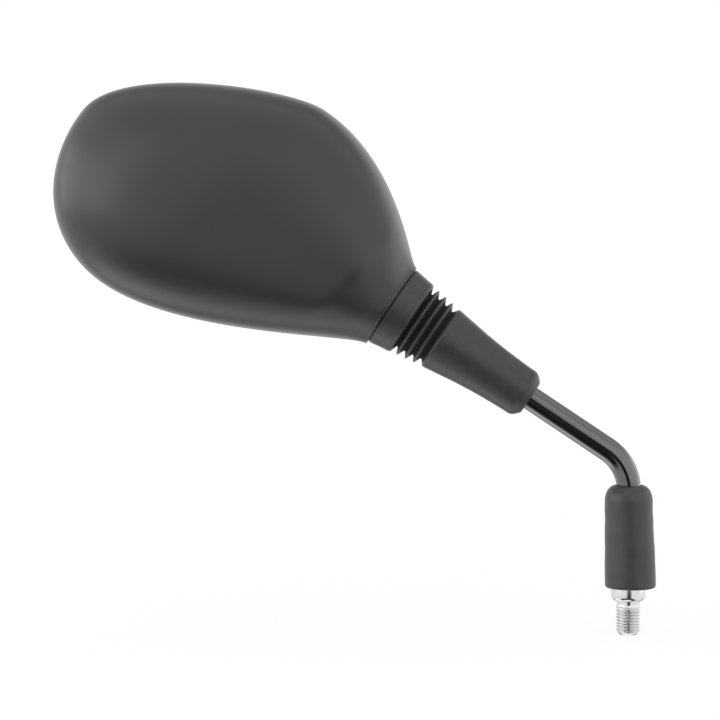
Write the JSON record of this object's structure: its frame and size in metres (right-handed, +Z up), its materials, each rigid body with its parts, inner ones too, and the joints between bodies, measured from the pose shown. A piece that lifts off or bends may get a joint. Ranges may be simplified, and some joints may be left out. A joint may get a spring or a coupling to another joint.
{
  "type": "motorcycle mirror",
  "caption": "Rear-view mirror for a scooter or motorcycle: shell with convex glass on a ball joint, ribbed rubber boot, bent rod arm and threaded stud.",
  "frame": {"origin": "centre of the lower face of the collar under the hexagon, on the axis of the threaded stud", "axes": "+Z up along the stud away from its thread; the bent arm lies in the XZ plane and its housing reaches towards -X; the glass faces +Y, towards the rider, and the shell's back faces -Y"},
  "size_m": [0.2467, 0.0465, 0.2248],
  "materials": {
    "bright_zinc": "bright zinc",
    "arm_black": "gloss",
    "base_rubber": "matte",
    "boot_rubber": "matte",
    "plain_steel": "oiled",
    "seat_nylon": "matte",
    "housing_black": "fine grain",
    "plate_black": "matte",
    "foam_pad": "matte",
    "mirror_glass": "polished"
  },
  "bodies": {
    "stud": {"threaded_stud": "bright_zinc"},
    "arm": {"arm_rod": "arm_black", "jam_nut": "bright_zinc", "base_boot": "base_rubber", "socket_body": "plain_steel", "roll_pin": "plain_steel", "preload_spring": "plain_steel", "thrust_washer": "plain_steel", "socket_cap": "plain_steel"},
    "seat": {"ball_seat": "seat_nylon"},
    "boot": {"rubber_boot": "boot_rubber"},
    "head": {"ball_stud": "bright_zinc", "stud_washer": "bright_zinc", "lock_washer": "plain_steel", "stud_nut": "bright_zinc", "housing_shell": "housing_black", "backing_plate": "plate_black", "plate_screw_1": "bright_zinc", "plate_screw_2": "bright_zinc", "plate_screw_3": "bright_zinc", "plate_screw_4": "bright_zinc", "glass_foam": "foam_pad", "mirror_glass": "mirror_glass"}
  },
  "joints": [
    {"name": "arm_turn", "type": "hinge", "parent": "stud", "child": "arm", "pos_m": [0, 0, 0.01], "axis": [0, 0, 1], "range_deg": [-60, 60]},
    {"name": "swivel", "type": "hinge", "parent": "arm", "child": "seat", "pos_m": [-0.08254, 0, 0.11049], "axis": [-0.8329, 0, 0.5534], "continuous": true},
    {"name": "tilt", "type": "hinge", "parent": "seat", "child": "boot", "pos_m": [-0.08254, 0, 0.11049], "axis": [0, 1, 0], "range_deg": [-15, 15], "deforming": ["rubber_boot"]},
    {"name": "spin", "type": "hinge", "parent": "boot", "child": "head", "pos_m": [-0.08254, 0, 0.11049], "axis": [-0.8329, 0, 0.5534], "continuous": true}
  ]
}
